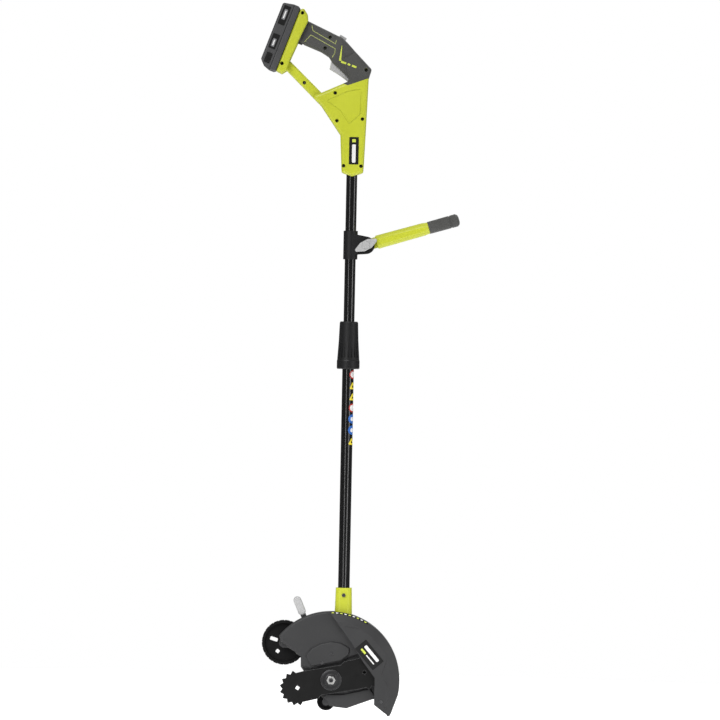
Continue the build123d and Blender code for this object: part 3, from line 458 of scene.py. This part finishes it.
def on_side(origin, y_face, side):
    """Places (x, z, out) on a face square to Y."""
    base = Vector((origin.x, y_face, origin.z))
    return on_plane(base, Vector((1, 0, 0)), Vector((0, 0, 1)), Vector((0, side, 0)))


def on_foot(node, y_face, side):
    """Places (up the foot, out of the foot, out of the side) from a node's middle, along the battery's foot."""
    up = Vector((math.cos(FOOT_TURN), 0, math.sin(FOOT_TURN)))
    out = Vector((-math.sin(FOOT_TURN), 0, math.cos(FOOT_TURN)))
    base = Vector((middle(node).x, y_face, middle(node).z))
    return on_plane(base, up, out, Vector((0, side, 0)))


def on_surface(nodes, side):
    """Places (x, z, out) from the frame's origin on a curved side, found by looking along Y."""
    verts, faces = [], []
    for node in nodes:
        mesh = frame["nodes"][node].data
        faces += [[index + len(verts) for index in face.vertices] for face in mesh.polygons]
        verts += [frame["nodes"][node].matrix_world @ vert.co for vert in mesh.vertices]
    tree = BVHTree.FromPolygons(verts, faces)

    def place(x, z, h):
        start = Vector((x * MM, side * WELL_OUTSIDE, z * MM))
        spot, normal, _, _ = tree.ray_cast(start, Vector((0, -side, 0)))
        return spot + (normal if normal.y * side > 0 else -normal) * h * MM

    return place


def on_tube(radius, turn):
    """Places (round, z, out) on the shaft, where turn is degrees from the near side towards +X."""
    def place(u, v, h):
        angle = math.radians(turn) + u * MM / radius
        reach = radius + h * MM
        return Vector((SHAFT.x + reach * math.sin(angle), -reach * math.cos(angle), v * MM))

    return place


def on_border(radius, y_outer, y_inner, width):
    """Places (round, inwards, out) on the shield's sloped border."""
    slope = Vector((-width, y_inner - y_outer)).normalized()
    out = Vector((-slope.y, slope.x))

    def place(u, v, h):
        reach, depth = Vector((radius, y_outer)) + (slope * v + out * h) * MM
        angle = u * MM / radius
        return Vector((ARBOR.x + reach * math.cos(angle), depth, ARBOR.z + reach * math.sin(angle)))

    return place


# ---------------------------------------------------------------- the head's badge and depth marks
GUARD_R = 0.150           # the shield's outer radius about the arbor
BORDER_Y, BORDER_WIDTH = -0.039, 0.020
RIB_H = 0.0007            # how far the shield's rib stands above its face
SHIELD_FACE = lowest("shield").y + RIB_H


def shield_badge():
    """A black plate with a wide bar, a lime bar and a thin bar."""
    face = on_side(ARBOR, SHIELD_FACE, NEAR)
    turn, x, z = -49.3, 82.9, 57.6
    spin = Matrix.Rotation(math.radians(turn), 2)

    def bar(along, up, length, height, radius):
        place = Vector((x, z)) + spin @ Vector((along, up))
        return box_outline(place.x, place.y, length, height, turn, radius)

    def add(name, outline, height, colour, slot):
        applied(name, [outline], face, height, colour, "lower")

    add("shield_badge", bar(0, 0, 61.5, 31.5, 1.5), 0.6, "print_black", "black_plastic")
    add("shield_badge_bar", bar(1, 5.5, 44, 7, 2), 0.85, "print_white", "light_plastic")
    add("shield_badge_lime", bar(-14.5, -5, 14, 4.5, 1), 0.85, "print_lime", "lime_plastic")
    add("shield_badge_line", bar(9, -5.5, 26, 2.6, 1), 0.85, "print_white", "light_plastic")


def depth_marks():
    """A dark band on the shield's border with light ticks, from the lever towards the front."""
    border = on_border(GUARD_R, BORDER_Y, SHIELD_FACE, BORDER_WIDTH)
    first, last, ticks, margin = 92.0, 58.0, 9, 2.5
    arc = GUARD_R / MM * math.radians(1)
    band = box_outline(arc * (first + last) / 2, 2.4, arc * (first - last), 4.4, 0, 0.8)
    applied("depth_band", [band], border, 0.3, "print_black", "lower", step=3.0)
    for start, colour in enumerate(("lime", "white")):
        outlines = []
        for index in range(start, ticks, 2):
            angle = first - margin - (first - last - 2 * margin) * index / (ticks - 1)
            outlines.append(box_outline(arc * angle, 2.3, 5.2, 2.0, 0, 0.4))
        applied("depth_ticks_" + colour, outlines, border, 0.5, "print_" + colour, "lower",
                step=3.0)


# ---------------------------------------------------------------- the rear handle's badge and grip lines
GRIP_LINES = [[(6.1, 46.6), (8.6, 35.2), (58.4, 7.2), (60.5, 15.4)],
              [(-9.4, 10.5), (4.2, 25.8), (58.0, -3.2), (57.6, -12.5), (51.5, -23.0)]]
GRIP_TAPER = [(72.9, 4.0), (69.2, -29.6)]
GRIP_DASHES = [[(71.5, -31.6), (83.0, -35.4)], [(86.4, -36.7), (92.0, -38.8)], [(95.6, -40.0), (105.5, -43.6)]]
NECK_SIDE = 0.023         # the neck's half depth


def neck_badge(side, name):
    """A black plate with a plain bar and a small lime block."""
    face = on_side(Vector((SHAFT.x, 0, lowest("housing_near").z)), side * NECK_SIDE, side)
    x, middle_z, height = 3.4, 56, 60
    plate = [box_outline(x, middle_z, 21, height, 0, 1.5)]
    applied("neck_badge_" + name, plate, face, 0.5, "print_black", "handle")
    bar = [box_outline(x, middle_z - 6, 8, 40, 0, 2)]
    applied("neck_badge_bar_" + name, bar, face, 0.75, "print_white", "handle")
    block = [box_outline(x, middle_z + height / 2 - 8, 8, 7, 0, 1)]
    applied("neck_badge_lime_" + name, block, face, 0.75, "print_lime", "handle")


def grip_lines(side, name):
    """Pale lines round the grip's soft panels, and a tapering bar and dashes behind the trigger."""
    skin = on_surface(["grip_" + name, "housing_" + name], side)
    outlines = [stroke_outline(path, 1.3, 1.3) for path in GRIP_LINES]
    applied("grip_lines_" + name, outlines, skin, 0.35, "print_pale_lime", "handle", step=2.0)
    dashes = [stroke_outline(GRIP_TAPER, 1.2, 5.0)]
    dashes += [stroke_outline(path, 4.4, 4.0) for path in GRIP_DASHES]
    applied("grip_dashes_" + name, dashes, skin, 0.45, "print_lime", "handle", step=2.0)


# ---------------------------------------------------------------- the battery's panels
RECESS = 0.0006           # the depth of the cover's recesses
# each recess's middle and length along the foot, and its badge's middle
PANELS = [(99.0, 43.0, 101.0), (38.0, 33.0, 35.0)]


def battery_panels(side, name):
    """Black panels in the cover's recesses, each with a plain grey badge and a light bar."""
    face = on_foot("latch_near", side * (highest("battery_cover").y - RECESS), side)
    plates = [box_outline(along, 1.0, length, 15.2, 0, 1.5) for along, length, _ in PANELS]
    applied("battery_panels_" + name, plates, face, 0.9, "print_black", "battery")
    badges = [box_outline(spot, 1.0, length * 0.55, 7.5, 0, 1.2) for _, length, spot in PANELS]
    applied("battery_badges_" + name, badges, face, 1.15, "print_grey", "battery")
    bars = [box_outline(spot, 1.0, length * 0.40, 2.6, 0, 0.8) for _, length, spot in PANELS]
    applied("battery_bars_" + name, bars, face, 1.3, "print_white", "battery")


def latch_ribs(side, name):
    """Raised ribs for the thumb on a latch."""
    face = on_foot("latch_" + name, side * highest("latch_far").y, side)
    ribs = [box_outline(along, 0, 1.6, 8.5, 0, 0.7) for along in (-6.6, -3.3, 0, 3.3, 6.6)]
    applied("latch_ribs_" + name, ribs, face, 0.7, "black_plastic", "latch_" + name)


# ---------------------------------------------------------------- the tube's coloured marks
MARKS_TURN = 58           # degrees from the near side towards +X
MARKS_PITCH = 24.4


def triangle_outline(x, z, size):
    turns = (0, math.tau / 3, 2 * math.tau / 3)
    return rounded([(x + size * math.sin(turn), z + size * math.cos(turn)) for turn in turns], size * 0.2)


def tube_marks():
    """A column of plain coloured shapes below the collar, on the tube's +X side."""
    skin = on_tube(TUBE_R, MARKS_TURN)
    top = lowest("twist_collar").z / MM - 12
    places = [top - MARKS_PITCH * index for index in range(7)]
    discs, triangles, blues = (places[0], places[3]), (places[1], places[2], places[6]), places[4:6]

    def add(name, outlines, height, colour):
        applied(name, outlines, skin, height, colour, "lower", step=1.5)

    add("mark_rings", [circle_outline(0, z, 9.5) for z in discs], 0.15, "print_red")
    add("mark_ring_centres", [circle_outline(0, z, 6.8) for z in discs], 0.25, "print_white")
    add("mark_triangles", [triangle_outline(0, z - 2, 11.5) for z in triangles], 0.15, "print_yellow")
    add("mark_triangle_centres", [triangle_outline(0, z - 2, 4.0) for z in triangles], 0.25, "print_black")
    add("mark_blue_discs", [circle_outline(0, z, 10.2) for z in blues], 0.15, "print_blue")
    add("mark_blue_centres", [circle_outline(0, z, 4.6) for z in blues], 0.25, "print_white")


def add_details():
    shield_badge()
    depth_marks()
    tube_marks()
    for side, name in ((NEAR, "near"), (FAR, "far")):
        neck_badge(side, name)
        grip_lines(side, name)
        battery_panels(side, name)
        latch_ribs(side, name)


add_details()


# ---------------------------------------------------------------- floor and light
FLOOR_R = 2.6
FLOOR_SIDES = 64
SOFT_SUN = math.radians(35)


def blade_reach():
    """The distance from the arbor's axis to the blade's farthest tooth."""
    node = frame["nodes"]["blade"]
    places = [node.matrix_world @ vert.co - ARBOR for vert in node.data.vertices]
    return max(math.hypot(place.x, place.z) for place in places)


def make_stage():
    """A pale floor, low enough for the blade to turn above it."""
    mesh = bpy.data.meshes.new("floor")
    low = min(CAD_FLOOR, ARBOR.z - blade_reach()) - 0.0005
    ring = [(x, y, low) for x, y in circle_outline(0, 0, FLOOR_R, FLOOR_SIDES)]
    mesh.from_pydata(ring, [], [list(range(FLOOR_SIDES))])
    floor = bpy.data.objects.new("floor", mesh)
    bpy.context.scene.collection.objects.link(floor)
    shader = Shader("floor")
    shader.set(Base_Color=(0.85, 0.85, 0.85), Roughness=1.0, Specular_IOR_Level=0.0)
    shader.set(Emission_Color=(1.0, 1.0, 1.0), Emission_Strength=0.5)
    mesh.materials.append(shader.material)


def add_light(name, kind, place, target, energy):
    lamp = bpy.data.lights.new(name, kind)
    lamp.energy = energy
    light = bpy.data.objects.new(name, lamp)
    light.location = place
    light.rotation_euler = (target - place).to_track_quat("-Z", "Z").to_euler()
    bpy.context.scene.collection.objects.link(light)
    return lamp


def make_strip(name, place, target, width, height, watts):
    """An upright softbox."""
    lamp = add_light(name, "AREA", place, target, watts)
    lamp.shape = "RECTANGLE"
    lamp.size, lamp.size_y = width, height


def make_lights():
    """Two strips for the tube's two bright lines, a soft key from the upper left and a weaker one behind."""
    aim = Vector((SHAFT.x, 0.0, CAD_FLOOR + 0.8))
    make_strip("strip_left", aim + Vector((-1.0, -1.9, 0)), aim, 0.18, 3.0, 9)
    make_strip("strip_right", aim + Vector((1.6, -1.24, 0)), aim, 0.22, 3.0, 10)
    key = add_light("key", "SUN", aim + Vector((-2.0, -5.5, 4.0)), aim, 1.6)
    key.angle = SOFT_SUN
    back = add_light("rear", "SUN", aim + Vector((2.5, 5.0, 5.2)), aim, 1.0)
    back.angle = SOFT_SUN


def make_world():
    """A studio that is white overhead and darker at the sides; the camera sees plain white."""
    world = bpy.data.worlds.new("studio")
    world.use_nodes = True
    nodes, links = world.node_tree.nodes, world.node_tree.links
    sky = nodes["Background"]
    place = nodes.new("ShaderNodeTexCoord")
    split = nodes.new("ShaderNodeSeparateXYZ")
    strength = nodes.new("ShaderNodeMapRange")
    strength.inputs["To Min"].default_value = 0.10
    strength.inputs["To Max"].default_value = 0.75
    links.new(place.outputs["Generated"], split.inputs["Vector"])
    links.new(split.outputs["Z"], strength.inputs["Value"])
    links.new(strength.outputs["Result"], sky.inputs["Strength"])
    sky.inputs["Color"].default_value = (1.0, 1.0, 1.0, 1.0)
    seen = nodes.new("ShaderNodeBackground")
    seen.inputs["Color"].default_value = (1.0, 1.0, 1.0, 1.0)
    mix = nodes.new("ShaderNodeMixShader")
    path = nodes.new("ShaderNodeLightPath")
    links.new(path.outputs["Is Camera Ray"], mix.inputs["Fac"])
    links.new(sky.outputs["Background"], mix.inputs[1])
    links.new(seen.outputs["Background"], mix.inputs[2])
    links.new(mix.outputs["Shader"], nodes["World Output"].inputs["Surface"])
    bpy.context.scene.world = world


make_stage()
make_lights()
make_world()
